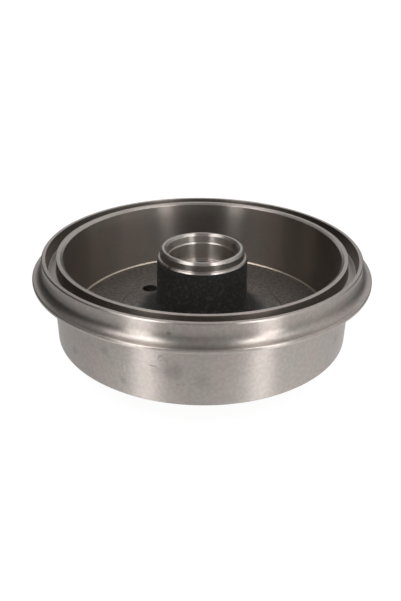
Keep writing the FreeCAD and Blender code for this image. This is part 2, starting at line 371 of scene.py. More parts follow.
quads = skin_quads(len(section), AROUND)
kept = np.ones(quads.shape[:2], bool)
points, edge_shares = [grid], [np.repeat(section_edge, AROUND)]
hole_quads, hole_finishes = [], []
for column in stud_columns:
    block = np.arange(column - STUD_COLUMNS, column + STUD_COLUMNS) % AROUND
    for rows in (pad_rows, wheel_rows):
        kept[np.ix_(np.sort(rows)[:-1], block)] = False
    pad, wheel, rings = hole_rings(column)
    start = sum(len(p) for p in points)
    numbers = start + np.arange(rings[..., 0].size).reshape(rings.shape[:2])
    numbers = np.vstack([pad, numbers, wheel])
    hole_quads.append(ring_quads(numbers))
    on_face = FACE_RINGS + 1
    # The hole's edges and wall are black: painted shade inside the hole.
    names = (["floor"] * on_face + ["skin_edge"] * (len(numbers) - 1 - 2 * on_face)
             + ["turned"] * on_face)
    hole_finishes.append(finish_numbers(names, numbers.shape[1]))
    on_edge = np.zeros(rings.shape[:2])
    on_edge[FACE_RINGS:FACE_RINGS + EDGE_RINGS] = 1
    on_edge[-FACE_RINGS - EDGE_RINGS:-FACE_RINGS] = 1
    points.append(rings.reshape(-1, 3))
    edge_shares.append(on_edge.ravel())
print("quads left out for the holes:", (~kept).sum())

# %% Points and faces of the whole skin
face_finish = finish_numbers(strip_finish, AROUND).reshape(kept.shape)
face_finish = np.concatenate([face_finish[kept], *hole_finishes])
faces = np.concatenate([quads[kept], *hole_quads])
used, faces = np.unique(faces, return_inverse=True)    # drops the points inside the blocks
faces = faces.reshape(-1, 4)
vertices, edge_share = np.concatenate(points)[used], np.concatenate(edge_shares)[used]
print("points:", len(vertices), " quads:", len(faces))

# %% [markdown]
# ## Into a mesh
#
# The arrays go into the mesh whole. Two sums prove that the skin is sound: the volume under all its
# faces must come to the casting's volume with a plus sign, which says that the faces point
# outwards, and every edge must be used once in each direction, which says that it is closed.

# %% The drum's mesh


def mesh_of(name, vertices, faces):
    """A mesh from whole arrays of points (mm) and quads."""
    mesh = bpy.data.meshes.new(name)
    mesh.vertices.add(len(vertices))
    mesh.vertices.foreach_set("co", (vertices * MM).astype(np.float32).ravel())
    mesh.loops.add(faces.size)
    mesh.loops.foreach_set("vertex_index", faces.astype(np.int32).ravel())
    mesh.polygons.add(len(faces))
    mesh.polygons.foreach_set("loop_start", np.arange(0, faces.size, 4, dtype=np.int32))
    mesh.polygons.foreach_set("use_smooth", np.ones(len(faces), bool))
    mesh.update(calc_edges=True)
    return mesh


mesh = mesh_of("brake_drum_iron", vertices, faces)
mesh.polygons.foreach_set("material_index", face_finish.astype(np.int32))
broken_edge = mesh.attributes.new("broken_edge", "FLOAT", "POINT")
broken_edge.data.foreach_set("value", edge_share.astype(np.float32))
drum = bpy.data.objects.new("brake_drum_iron", mesh)
bpy.context.scene.collection.objects.link(drum)
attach(drum, "root")
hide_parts("brake_drum")
print("triangles:", 2 * len(faces))

# %% Is the skin sound?


def signed_volume(vertices, faces):
    """Volume inside a closed skin: the sum over its triangles of a . (b x c) / 6."""
    triangles = np.concatenate([faces[:, [0, 1, 2]], faces[:, [0, 2, 3]]])
    a, b, c = (vertices[triangles[:, k]] for k in range(3))
    return (a * np.cross(b, c)).sum() / 6


sides = np.concatenate([faces[:, [k, (k + 1) % 4]] for k in range(4)])
forward = sides[:, 0].astype(np.int64) * len(vertices) + sides[:, 1]
backward = sides[:, 1].astype(np.int64) * len(vertices) + sides[:, 0]
once = len(np.unique(forward)) == len(forward)
print("volume, cm3: %.1f" % (signed_volume(vertices, faces) / 1000))
print("closed:", once and np.isin(forward, backward).all())

# %% [markdown]
# ## Shared effects
#
# A material on a turned part has to know where it lies on the lathe: a tool mark is a ring, so it
# depends only on the distance from the axis and on the height, never on the direction. The first
# group makes such rings from a point's place on the object. The others make smudges, scuffs, the
# grain of a cast skin and the lighter line of an edge, which is partly wear and partly a painted
# highlight. Each is built once and then placed in every material that needs it, with its own sizes.

# %% Node helpers
MEASURES = ("LENGTH", "DISTANCE", "DOT_PRODUCT")    # vector operations that give a number


def fill(tree, node, values):
    """The inputs of a node, each either linked from a socket or set to a value."""
    for key, value in values.items():
        if isinstance(value, bpy.types.NodeSocket):
            tree.links.new(value, node.inputs[key])
        else:
            node.inputs[key].default_value = value


def add(tree, kind, values=None, **settings):
    """A node of a kind, with its settings and its inputs."""
    node = tree.nodes.new(kind)
    for name, value in settings.items():
        setattr(node, name, value)
    fill(tree, node, values or {})
    return node


def arithmetic(tree, operation, *values):
    """The result of one Math node."""
    return add(tree, "ShaderNodeMath", dict(enumerate(values)), operation=operation).outputs[0]


def vector_maths(tree, operation, *values):
    """The result of one Vector Math node: a number where it measures, and else a vector."""
    node = add(tree, "ShaderNodeVectorMath", dict(enumerate(values)), operation=operation)
    return node.outputs["Value" if operation in MEASURES else "Vector"]


def ramp(tree, value, low, high, low_result=0.0, high_result=1.0):
    """A value carried smoothly from one range to another."""
    values = {"Value": value, "From Min": low, "From Max": high,
              "To Min": low_result, "To Max": high_result}
    node = add(tree, "ShaderNodeMapRange", values, interpolation_type="SMOOTHSTEP")
    return node.outputs["Result"]


def blend(tree, share, first, second):
    """A colour between two colours."""
    first, second = ((*c, 1) if isinstance(c, tuple) else c for c in (first, second))
    values = {0: share, 6: first, 7: second}
    return add(tree, "ShaderNodeMix", values, data_type="RGBA").outputs[2]


def noise(tree, place, scale, detail=3.0, roughness=0.6, distortion=0.0):
    """Noise of one value at a place, with so many waves to a metre."""
    values = {"Vector": place, "Scale": scale, "Detail": detail, "Roughness": roughness,
              "Distortion": distortion}
    return add(tree, "ShaderNodeTexNoise", values, noise_dimensions="3D").outputs["Fac"]


def from_axis(tree, place):
    """The distance of a place from the wheel axis: the length of (x, y, 0)."""
    return vector_maths(tree, "LENGTH", vector_maths(tree, "MULTIPLY", place, (1, 1, 0)))


# %% A new group
NUMBER, POINT = "NodeSocketFloat", "NodeSocketVector"


def new_group(name, inputs, outputs):
    """An empty shader node group with named sockets, and its input and output nodes."""
    group = bpy.data.node_groups.new(name, "ShaderNodeTree")
    for label, kind, value in inputs:
        socket = group.interface.new_socket(name=label, in_out="INPUT", socket_type=kind)
        if value is not None:
            socket.default_value = value
    for label in outputs:
        group.interface.new_socket(name=label, in_out="OUTPUT", socket_type=NUMBER)
    given, result = group.nodes.new("NodeGroupInput"), group.nodes.new("NodeGroupOutput")
    return group, given.outputs, result.inputs


# %% [markdown]
# ### Turning marks
#
# The tool leaves a fine spiral, so close that it reads as rings. The group squeezes every point
# onto its half section, as (radius, 0, height), and looks up noise there: all points of one ring
# get the same value. Fine marks are half a millimetre to a millimetre apart, and bands nine times
# as wide show where the feed changed.

# %% Turning marks
turning, given, result = new_group(
    "turning marks",
    [("Position", POINT, None), ("Mark Width", NUMBER, 0.0004), ("Band Width", NUMBER, 0.004),
     ("Wander", NUMBER, 0.0002)],
    ["Marks", "Bands"])
wander = noise(turning, given["Position"], scale=25.0, detail=2.0)
drift = arithmetic(turning, "MULTIPLY", wander, given["Wander"])
apart = add(turning, "ShaderNodeSeparateXYZ", {0: given["Position"]})
ring_radius = arithmetic(turning, "ADD", from_axis(turning, given["Position"]), drift)
ring_height = arithmetic(turning, "ADD", apart.outputs[2], drift)
ring = add(turning, "ShaderNodeCombineXYZ", {0: ring_radius, 1: 0.0, 2: ring_height}).outputs[0]
for label, width, detail in (("Marks", "Mark Width", 3.0), ("Bands", "Band Width", 2.0)):
    scale = arithmetic(turning, "DIVIDE", 1.0, given[width])
    turning.links.new(noise(turning, ring, scale, detail, roughness=0.7), result[label])
print("turning marks:", len(turning.nodes), "nodes")

# %% [markdown]
# ### Smudges
#
# Bare iron shows every touch: rust-preventing oil dries in patches, and fingers leave dull blots.
# The first group is a soft cloud over the whole part. The second is a single blot of a given size
# round a given point, with a ragged edge, for marks that sit in a known place.

# %% Smudges
CLOUD_SOFTNESS = 0.18                # from the threshold to a full cloud
BLOT_FROM, BLOT_FULL = 1.15, 0.45    # where a blot's frayed distance starts and where it is full

smudge, given, result = new_group(
    "smudges",
    [("Position", POINT, None), ("Cloud Size", NUMBER, 0.02), ("Threshold", NUMBER, 0.55)],
    ["Cloud"])
scale = arithmetic(smudge, "DIVIDE", 1.0, given["Cloud Size"])
cloud = noise(smudge, given["Position"], scale, detail=7.0, roughness=0.62, distortion=0.4)
full = arithmetic(smudge, "ADD", given["Threshold"], CLOUD_SOFTNESS)
smudge.links.new(ramp(smudge, cloud, given["Threshold"], full), result["Cloud"])

blot, given, result = new_group(
    "blot",
    [("Position", POINT, None), ("Centre", POINT, None), ("Size", NUMBER, 0.006),
     ("Raggedness", NUMBER, 0.6)],
    ["Mask"])
away = vector_maths(blot, "DISTANCE", given["Position"], given["Centre"])
share = arithmetic(blot, "DIVIDE", away, given["Size"])
frayed = noise(blot, given["Position"], scale=800.0, detail=6.0, roughness=0.7)
ragged = arithmetic(blot, "MULTIPLY", frayed, given["Raggedness"])
share = arithmetic(blot, "ADD", share, ragged)
blot.links.new(ramp(blot, share, BLOT_FROM, BLOT_FULL), result["Mask"])
print("smudges:", len(smudge.nodes), "nodes, blot:", len(blot.nodes), "nodes")

# %% [markdown]
# ### Scuffs
#
# Something hard that slips over the iron leaves a thin line, mostly a shallow curve. The group
# draws such a line as part of a circle: one mask is thin across the circle, another is a soft spot
# that leaves only the part near its middle, and a fine noise roughens both.

# %% Scuffs
LINE_CORE = 0.4      # share of the half width at which a line is full
REACH_CORE = 0.6     # share of the reach up to which it stays full

scuff, given, result = new_group(
    "scuff",
    [("Position", POINT, None), ("Centre", POINT, None), ("Radius", NUMBER, 0.006),
     ("Width", NUMBER, 0.0004), ("Middle", POINT, None), ("Reach", NUMBER, 0.004)],
    ["Mask"])
away = vector_maths(scuff, "DISTANCE", given["Position"], given["Centre"])
off_line = arithmetic(scuff, "ABSOLUTE", arithmetic(scuff, "SUBTRACT", away, given["Radius"]))
line = ramp(scuff, arithmetic(scuff, "DIVIDE", off_line, given["Width"]), 1.0, LINE_CORE)
away = vector_maths(scuff, "DISTANCE", given["Position"], given["Middle"])
near = ramp(scuff, arithmetic(scuff, "DIVIDE", away, given["Reach"]), 1.0, REACH_CORE)
fine = noise(scuff, given["Position"], scale=900.0, detail=4.0, roughness=0.6)
mask = arithmetic(scuff, "MULTIPLY", arithmetic(scuff, "MULTIPLY", line, near),
                  ramp(scuff, fine, 0.38, 0.55))
scuff.links.new(mask, result["Mask"])
print("scuff:", len(scuff.nodes), "nodes")

# %% [markdown]
# ### Cast grain and broken edges
#
# A cast skin repeats the sand of its mould: grains under a millimetre across, with pits between
# them. Two noises of different size give the height, and their high spots give a speckle of lighter
# iron where the skin is rubbed.
#
# The mesh already says where its edges are broken, in an attribute that is 1 on every small corner
# arc. The edge group lightens that line in patches: partly wear, because handling rubs an edge
# bright only here and there, and partly a painted highlight along the edge.

# %% Cast grain
COARSE_SCALE = 0.31                      # waves of the coarse noise to one of the fine noise
SAND_SHARE, COARSE_SHARE = 0.55, 0.75    # of each noise in the height

grain, given, result = new_group(
    "cast grain", [("Position", POINT, None), ("Grain Size", NUMBER, 0.0008)],
    ["Height", "Speckle"])
scale = arithmetic(grain, "DIVIDE", 1.0, given["Grain Size"])
coarse_scale = arithmetic(grain, "MULTIPLY", scale, COARSE_SCALE)
sand = noise(grain, given["Position"], scale, detail=4.0, roughness=0.65)
coarse = noise(grain, given["Position"], coarse_scale, detail=3.0, roughness=0.55)
height_sum = arithmetic(grain, "ADD", arithmetic(grain, "MULTIPLY", sand, SAND_SHARE),
                        arithmetic(grain, "MULTIPLY", coarse, COARSE_SHARE))
grain.links.new(height_sum, result["Height"])
grain.links.new(ramp(grain, height_sum, 0.62, 0.84), result["Speckle"])

# %% Broken edges
edge_wear_and_glint, given, result = new_group(
    "edge wear and glint", [("Position", POINT, None), ("Edge", NUMBER, 0.0), ("Break Up", NUMBER, 0.5)],
    ["Mask"])
patchy = noise(edge_wear_and_glint, given["Position"], scale=160.0, detail=5.0, roughness=0.6)
dull = arithmetic(edge_wear_and_glint, "MULTIPLY", ramp(edge_wear_and_glint, patchy, 0.35, 0.65), given["Break Up"])
bright = arithmetic(edge_wear_and_glint, "SUBTRACT", 1.0, dull)
edge_wear_and_glint.links.new(arithmetic(edge_wear_and_glint, "MULTIPLY", given["Edge"], bright), result["Mask"])
print("node groups:", sorted(g.name for g in bpy.data.node_groups))

# %% [markdown]
# ## Finishes
#
# Turned metal shines in streaks. Each ring that the tool leaves is a tiny groove, which scatters
# light strongly across itself and hardly along itself. The shader says this with anisotropy: its
# roughness is stretched across the rings by a quarter turn from the tangent, which runs round the
# axis. A lamp then shows as an upright bar on a wall and as a spoke on a flat face. That one
# setting does more for the look than any picture of scratches.
#
# Over that lie the things that make iron look like iron: rings and a fine mottle of tone, a hue
# that drifts from warm to cool, dried oil, and edges that handling has rubbed bright, lightened
# further as a painted highlight.

# %% Starting a material


def start_material(name):
    """An empty node material, its tree, its Principled shader and a point's place on the object."""
    material = bpy.data.materials.new(name)
    material.use_nodes = True
    tree = material.node_tree
    tree.nodes.clear()
    shader = tree.nodes.new("ShaderNodeBsdfPrincipled")
    add(tree, "ShaderNodeOutputMaterial", {"Surface": shader.outputs["BSDF"]})
    return material, tree, shader, add(tree, "ShaderNodeTexCoord").outputs["Object"]


def use_group(tree, group, values):
    """A shared effect placed in a material, with its own values."""
    node = tree.nodes.new("ShaderNodeGroup")
    node.node_tree = group
    fill(tree, node, values)
    return node.outputs


def tone(colour, share):
    """A colour times a share, or with each of its parts times a share of its own."""
    return tuple(np.array(colour) * share)


# %% Dirt and scuffs on turned iron
CLOUDS = {"Cloud Size": 0.022, "Threshold": 0.56}    # size in metres, and how rare the clouds are


def scuff_mask(tree, here, centre, radius, width, middle, reach):
    """Where one scuff lies."""
    return use_group(tree, scuff, {"Position": here, "Centre": centre, "Radius": radius,
                                   "Width": width, "Middle": middle, "Reach": reach})["Mask"]


def dirt_on(tree, here, stain, blots, scuffs):
    """How dirty each point is: the most that the clouds, a blot or a dark scuff give it."""
    clouds = use_group(tree, smudge, {"Position": here, **CLOUDS})["Cloud"]
    dirt = arithmetic(tree, "MULTIPLY", clouds, stain)
    for centre, size, strength in blots:
        mask = use_group(tree, blot, {"Position": here, "Centre": centre, "Size": size})["Mask"]
        dirt = arithmetic(tree, "MAXIMUM", dirt, arithmetic(tree, "MULTIPLY", mask, strength))
    for *line, strength in scuffs:
        if strength > 0:
            mark = arithmetic(tree, "MULTIPLY", scuff_mask(tree, here, *line), strength)
            dirt = arithmetic(tree, "MAXIMUM", dirt, mark)
    return dirt


# %% A turned finish
WARM, COOL = (1.03, 0.98, 0.975), (0.945, 1.01, 0.96)    # the ends of the iron's drift of hue
HUE_SCALE = 38.0          # waves of that drift to a metre
MIDDLE = (0.38, 0.62)     # the part of a noise's range in which most of its values lie
BAND_WIDTH = 9            # width of a band, in marks
MARK_SHARE = 0.6          # share of the fine marks in the rings; the bands have the rest
MOTTLE_TONE = 0.76        # the mottle's darker grains, as a share of the iron's colour
PALE_TONE = 1.45          # a pale scuff
DIRT_TONE = 0.12          # full dirt
# A rubbed edge is lighter iron, and the same lightening is a painted highlight along each broken
# edge.
EDGE_TONE = 1.3           # a rubbed edge
EDGE_SHARE = 0.4          # how much of a rubbed edge shows
EDGE_BREAK_UP = 0.6       # how much of it is missing in patches
RING_ROUGHNESS = 0.01     # what a ring adds to the roughness or takes from it
DIRT_ROUGHNESS = 0.15     # what full dirt adds to it
ACROSS_RINGS = 0.25       # the quarter turn from along the rings to across them


def turned_iron(name, colour, roughness, anisotropy, mark_width, ring_tone, mark_height, stain,
                blots=(), scuffs=(), mottling=0.42):
    """Bare turned iron. Rings and a fine mottle change its tone by a few hundredths, clouds turn
    its hue from warm to cool, smudges dull it and broken edges are brighter. Blots are (centre,
    size, strength), and scuffs are (centre, radius, width, middle, reach, strength), where a
    strength below 0 is a pale line."""
    material, tree, shader, here = start_material(name)
    marks = use_group(tree, turning, {"Position": here, "Mark Width": mark_width,
                                      "Band Width": BAND_WIDTH * mark_width})
    rings = arithmetic(tree, "ADD", arithmetic(tree, "MULTIPLY", marks["Marks"], MARK_SHARE),
                       arithmetic(tree, "MULTIPLY", marks["Bands"], 1 - MARK_SHARE))
    hue = ramp(tree, noise(tree, here, HUE_SCALE), *MIDDLE)
    tint = blend(tree, hue, tone(colour, WARM), tone(colour, COOL))
    ring_share = ramp(tree, rings, *MIDDLE, 1.0, 0.0)
    tint = blend(tree, ring_share, tint, tone(colour, 1 - 2 * ring_tone))
    mottle = noise(tree, here, scale=420.0, detail=4.0, roughness=0.55)
    mottle_share = ramp(tree, mottle, 0.42, 0.6, mottling, 0.0)
    tint = blend(tree, mottle_share, tint, tone(colour, MOTTLE_TONE))
    for *line, strength in scuffs:
        if strength < 0:
            pale = arithmetic(tree, "MULTIPLY", scuff_mask(tree, here, *line), -strength)
            tint = blend(tree, pale, tint, tone(colour, PALE_TONE))
    dirt = dirt_on(tree, here, stain, blots, scuffs)
    tint = blend(tree, dirt, tint, tone(colour, DIRT_TONE))
    # Broken edges are lightened in patches: wear, and a painted highlight along the edge.
    edge = add(tree, "ShaderNodeAttribute", attribute_name="broken_edge").outputs["Fac"]
    wear_and_glint = use_group(tree, edge_wear_and_glint, {"Position": here, "Edge": edge, "Break Up": EDGE_BREAK_UP})
    wear_and_glint_share = arithmetic(tree, "MULTIPLY", wear_and_glint["Mask"], EDGE_SHARE)
    tint = blend(tree, wear_and_glint_share, tint, tone(colour, EDGE_TONE))
    dullness = ramp(tree, rings, 0.3, 0.7, roughness - RING_ROUGHNESS, roughness + RING_ROUGHNESS)
    dullness = arithmetic(tree, "ADD", dullness,
                          arithmetic(tree, "MULTIPLY", dirt, DIRT_ROUGHNESS))
    bump = add(tree, "ShaderNodeBump", {"Strength": 1.0, "Distance": mark_height,
                                        "Height": marks["Marks"]})
    fill(tree, shader, {"Base Color": tint, "Roughness": dullness, "Normal": bump.outputs[0],
                        "Metallic": 1.0, "Anisotropic": anisotropy,
                        "Anisotropic Rotation": ACROSS_RINGS})
    return material


# %% Marks that sit in known places


def on_drum(radius, azimuth, height):
    """A point of the drum in metres, from a radius and height in mm and an azimuth in degrees."""
    a = math.radians(azimuth)
    return (radius * math.cos(a) * MM, radius * math.sin(a) * MM, height * MM)


def blots_on(rows):
    """Blots from rows of radius, azimuth, height, size (m) and strength."""
    return [(on_drum(*place), size, strength) for *place, size, strength in rows]


SIDE_SMUDGES = blots_on([
    (LIP_WALL, 252.4, 57.0, 0.0026, 0.45), (OUTER_WALL, 250.6, 34.0, 0.0040, 0.16),
    (OUTER_WALL, 247.0, 26.0, 0.0055, 0.16), (OUTER_WALL, 252.5, 26.5, 0.0120, 0.22),
    (OUTER_WALL, 211.0, 16.0, 0.0050, 0.22), (OUTER_WALL, 235.2, 12.0, 0.0045, 0.22),
    (OUTER_WALL, 228.0, 30.0, 0.0060, 0.16), (OUTER_WALL, 262.0, 20.0, 0.0080, 0.14),
    (OUTER_WALL, 318.0, 22.0, 0.0070, 0.14), (OUTER_WALL, 80.0, 24.0, 0.0080, 0.16),
    (OUTER_WALL, 150.0, 34.0, 0.0065, 0.14)])
LEDGE_PATCH = blots_on([(33.4, 216.6, 56.3, 0.0036, 0.95), (33.8, 209.0, 56.0, 0.0020, 0.9)])

# centre (azimuth, height), radius (m), width (m), middle (azimuth, height), reach (m), strength
SIDE_SCUFFS = [
    (on_drum(OUTER_WALL, *centre), radius, width, on_drum(OUTER_WALL, *middle), reach, strength)
    for centre, radius, width, middle, reach, strength in [
        ((249.0, 34.9), 0.0018, 0.0006, (248.7, 35.0), 0.0028, 0.50),
        ((245.6, 20.6), 0.0080, 0.0007, (246.0, 28.6), 0.0036, 0.55),
        ((232.2, 22.0), 0.0075, 0.0006, (236.0, 21.5), 0.0034, -0.5),
        ((255.0, 22.0), 0.0055, 0.0006, (255.0, 16.5), 0.0044, 0.30)]]
print("blots:", len(SIDE_SMUDGES) + len(LEDGE_PATCH), " scuffs:", len(SIDE_SCUFFS))

# %% The turned finishes
materials = {
    "turned": turned_iron(
        "turned_iron", (0.525, 0.472, 0.445), roughness=0.33, anisotropy=0.90, mark_width=0.0005,
        ring_tone=0.015, mark_height=0.000001, stain=0.06, blots=SIDE_SMUDGES,
        scuffs=SIDE_SCUFFS),
    "friction": turned_iron(
        "friction_face", (0.445, 0.393, 0.365), roughness=0.30, anisotropy=1.0,
        mark_width=0.0007, ring_tone=0.006, mark_height=0.0000003, stain=0.06, mottling=0.15),
    "hub_end": turned_iron(
        "hub_end", (0.545, 0.497, 0.467), roughness=0.30, anisotropy=0.93, mark_width=0.0010,
        ring_tone=0.10, mark_height=0.000003, stain=0.08, blots=LEDGE_PATCH),
    "bearing_seat": turned_iron(
        "bearing_seat", (0.575, 0.525, 0.491), roughness=0.31, anisotropy=1.0,
        mark_width=0.0005, ring_tone=0.01, mark_height=0.0000005, stain=0.04, mottling=0.2),
    # The chamfer at the foot of the friction wall is painted far lighter than the iron above it: a
    # painted highlight along the wall's foot.
    "foot": turned_iron(
        "wall_foot_highlight", (0.78, 0.69, 0.58), roughness=0.44, anisotropy=0.90, mark_width=0.0005,
        ring_tone=0.02, mark_height=0.000001, stain=0.10),
    # The rough finish is far darker than the turned iron. On the groove's walls that darkness is
    # painted shade; elsewhere it is the duller iron of rough turning.
    "rough": turned_iron(
        "rough_turned_and_shade", (0.30, 0.262, 0.236), roughness=0.40, anisotropy=0.90,
        mark_width=0.0009, ring_tone=0.06, mark_height=0.000005, stain=0.2),
}
print("turned finishes:", list(materials))

# %% [markdown]
# ### The black skin and the drum's floor
#
# The side of the hub has never met a tool. Its skin is burnt sand and iron oxide: nearly black,
# dull, with a faint speckle. It is not metal to the eye, so it gets no metallic share. The floor of
# the drum was only rough turned and has dulled since, so it is part metal and part film, and the
# black runs out over it from the hub's root.

# %% Cast skin
DULL_SPECULAR = 0.35    # specular level of skin and film
SPECKLE_SHARE = 0.8     # how much of the lighter tone a speckle has
SKIN_BLACK, SKIN_GREY = (0.030, 0.030, 0.028), (0.088, 0.086, 0.081)


def cast_skin(name, black, grey, grain_size, depth):
    """Cast skin: two dark tones by the grain's speckle, with the grain as height."""
    material, tree, shader, here = start_material(name)
    sand = use_group(tree, grain, {"Position": here, "Grain Size": grain_size})
    speckle = arithmetic(tree, "MULTIPLY", sand["Speckle"], SPECKLE_SHARE)
    bump = add(tree, "ShaderNodeBump", {"Strength": 1.0, "Distance": depth,
                                        "Height": sand["Height"]})
    fill(tree, shader, {"Base Color": blend(tree, speckle, black, grey),
                        "Roughness": ramp(tree, sand["Height"], 0.4, 0.9, 0.62, 0.45),
                        "Normal": bump.outputs[0], "Specular IOR Level": DULL_SPECULAR})
    return material


materials["skin"] = cast_skin("cast_skin", SKIN_BLACK, SKIN_GREY, grain_size=0.0007,
                              depth=0.00022)
# The black of the cast skin also stands on the drum's outer bottom corner and in the stud holes, as
# painted shade there.
materials["skin_edge"] = cast_skin("painted_shade_corner", (0.03, 0.028, 0.026), (0.09, 0.085, 0.08),
                                   grain_size=0.0007, depth=0.0001)

# %% The drum's floor
FLOOR_DARK, FLOOR_LIGHT = (0.150, 0.135, 0.121), (0.255, 0.230, 0.207)
FLOOR_PATCH = (0.155, 0.143, 0.130)
PATCH_SHARE = 0.35                         # how much of a patch shows
BLACK_ENDS, BLACK_FULL = 0.0575, 0.0490    # distances from the axis, m
FRAYING = 0.010                            # how far the black's border wanders, m
FLOOR_METAL = 0.75                         # metallic share of the bare floor
FLOOR_DEPTH = 0.00006                      # depth of its grain, m


def drum_floor():
    """Rough turned floor: two tones by a mottle, duller patches, and the skin's black wherever the
    distance from the axis, frayed by noise, is small."""
    material, tree, shader, here = start_material("drum_floor")
    sand = use_group(tree, grain, {"Position": here, "Grain Size": 0.0016})
    mottle = noise(tree, here, scale=380.0, detail=5.0, roughness=0.6)
    colour = blend(tree, ramp(tree, mottle, 0.40, 0.60), FLOOR_DARK, FLOOR_LIGHT)
    patches = ramp(tree, noise(tree, here, scale=60.0), 0.40, 0.62, 0.0, PATCH_SHARE)
    colour = blend(tree, patches, colour, FLOOR_PATCH)
    wandering = arithmetic(tree, "MULTIPLY", noise(tree, here, scale=110.0, detail=4.0), FRAYING)
    frayed = arithmetic(tree, "ADD", from_axis(tree, here), wandering)
    black = ramp(tree, frayed, BLACK_ENDS, BLACK_FULL)
    bump = add(tree, "ShaderNodeBump", {"Strength": 1.0, "Distance": FLOOR_DEPTH,
                                        "Height": sand["Height"]})
    fill(tree, shader, {"Base Color": blend(tree, black, colour, SKIN_BLACK),
                        "Metallic": ramp(tree, black, 0.0, 1.0, FLOOR_METAL, 0.0),
                        "Roughness": ramp(tree, mottle, 0.3, 0.7, 0.46, 0.56),
                        "Normal": bump.outputs[0], "Specular IOR Level": DULL_SPECULAR})
    return material


materials["floor"] = drum_floor()
for name in FINISHES:
    mesh.materials.append(materials[name])
print("materials:", [m.name for m in mesh.materials])

# %% [markdown]
# ## Camera
#
# The camera's place was worked out from the drum's own rings: a ring seen at a slant is an ellipse,
# and the sizes and places of several ellipses leave only one spot from which they all look right.
# It stands 0.45 m away, 26 degrees above the drum's middle, with a lens of 35 mm on an upright
# frame of 36 mm. That is a rather wide view from near by, so the near side looks clearly larger
# than the far one.

# %% Camera values
STUDIO_TURN = math.radians(-8.4)    # from the studio's axes to the drum's, about the wheel axis
PIVOT_HEIGHT = 32.4                 # the point that the distance and rise count from, mm
CAMERA_RISE = math.radians(26.0352)
CAMERA_DISTANCE = 453.725           # mm
LOOK_DOWN = math.radians(27.6150)
LOOK_ASIDE = math.radians(-0.1285)
ROLL = math.radians(0.6602)
FOCAL_PIXELS = 586.831              # focal length in pixels of the frame
FRAME_HEIGHT = 601                  # pixels
SENSOR = 36.0                       # mm along the frame's longer side


def turn_to_drum(vector):
    """A vector of the studio, whose camera looks along +Y, turned about Z into the drum's axes."""
    c, s = math.cos(STUDIO_TURN), math.sin(STUDIO_TURN)
    x, y, z = vector
    return np.array([c * x - s * y, s * x + c * y, z])


# %% Camera
camera_place = np.array([0, -CAMERA_DISTANCE * math.cos(CAMERA_RISE),
                         PIVOT_HEIGHT + CAMERA_DISTANCE * math.sin(CAMERA_RISE)])
ahead = np.array([math.sin(LOOK_ASIDE) * math.cos(LOOK_DOWN),
                  math.cos(LOOK_ASIDE) * math.cos(LOOK_DOWN), -math.sin(LOOK_DOWN)])
level_aside = unit(np.cross(ahead, (0, 0, 1)))
level_above = np.cross(level_aside, ahead)
aside = level_aside * math.cos(ROLL) + level_above * math.sin(ROLL)
above = level_above * math.cos(ROLL) - level_aside * math.sin(ROLL)

scene = bpy.context.scene
camera = bpy.data.objects.new("camera", bpy.data.cameras.new("camera"))
scene.collection.objects.link(camera)
scene.camera = camera
camera.data.sensor_width = SENSOR
camera.data.lens = FOCAL_PIXELS / FRAME_HEIGHT * SENSOR
pose = np.eye(4)
for column, vector in enumerate((aside, above, -ahead)):
    pose[:3, column] = turn_to_drum(vector)
pose[:3, 3] = turn_to_drum(camera_place) * MM
camera.matrix_world = Matrix(pose.tolist())
print("camera at, m:", [round(v, 4) for v in pose[:3, 3]], " lens, mm: %.2f" % camera.data.lens)

# %% [markdown]
# ## Studio
#
# A bright part on a white ground is mostly a picture of its surroundings. Below, it mirrors the
# white table, so its walls read as pale grey. Above, the studio is dim, so the inside of the drum
# stays dark, except where it mirrors pale screens and walls.
#
# The white ground is only seen by the camera and in reflections. It gives off no light of its own,
# so the drum still leaves its shadow on the table. In reflections it fades out with distance, as a
# sheet of paper that ends half a metre away would. Its back is clear, so the wheel side can be
# looked at from below.

# %% Table
TABLE_LEVEL = -18.05         # 0.05 mm below the nose, so that they don't share a plane
TABLE_SIZE = 6.0             # side of the table, m
TABLE_SHADE = 0.15           # how far the table answers to light and shadow
TABLE_WHITE = 0.94           # what the camera sees of it without any light
TABLE_MIRRORED = 0.54        # its own brightness as the drum's surfaces mirror it
TABLE_FADE = (0.30, 0.60)    # distances between which that brightness fades out, m
TABLE_GLOSS = 0.50           # the share of the lamps that it passes on to the drum
TABLE_ROUGHNESS = 0.35       # how widely it spreads that share


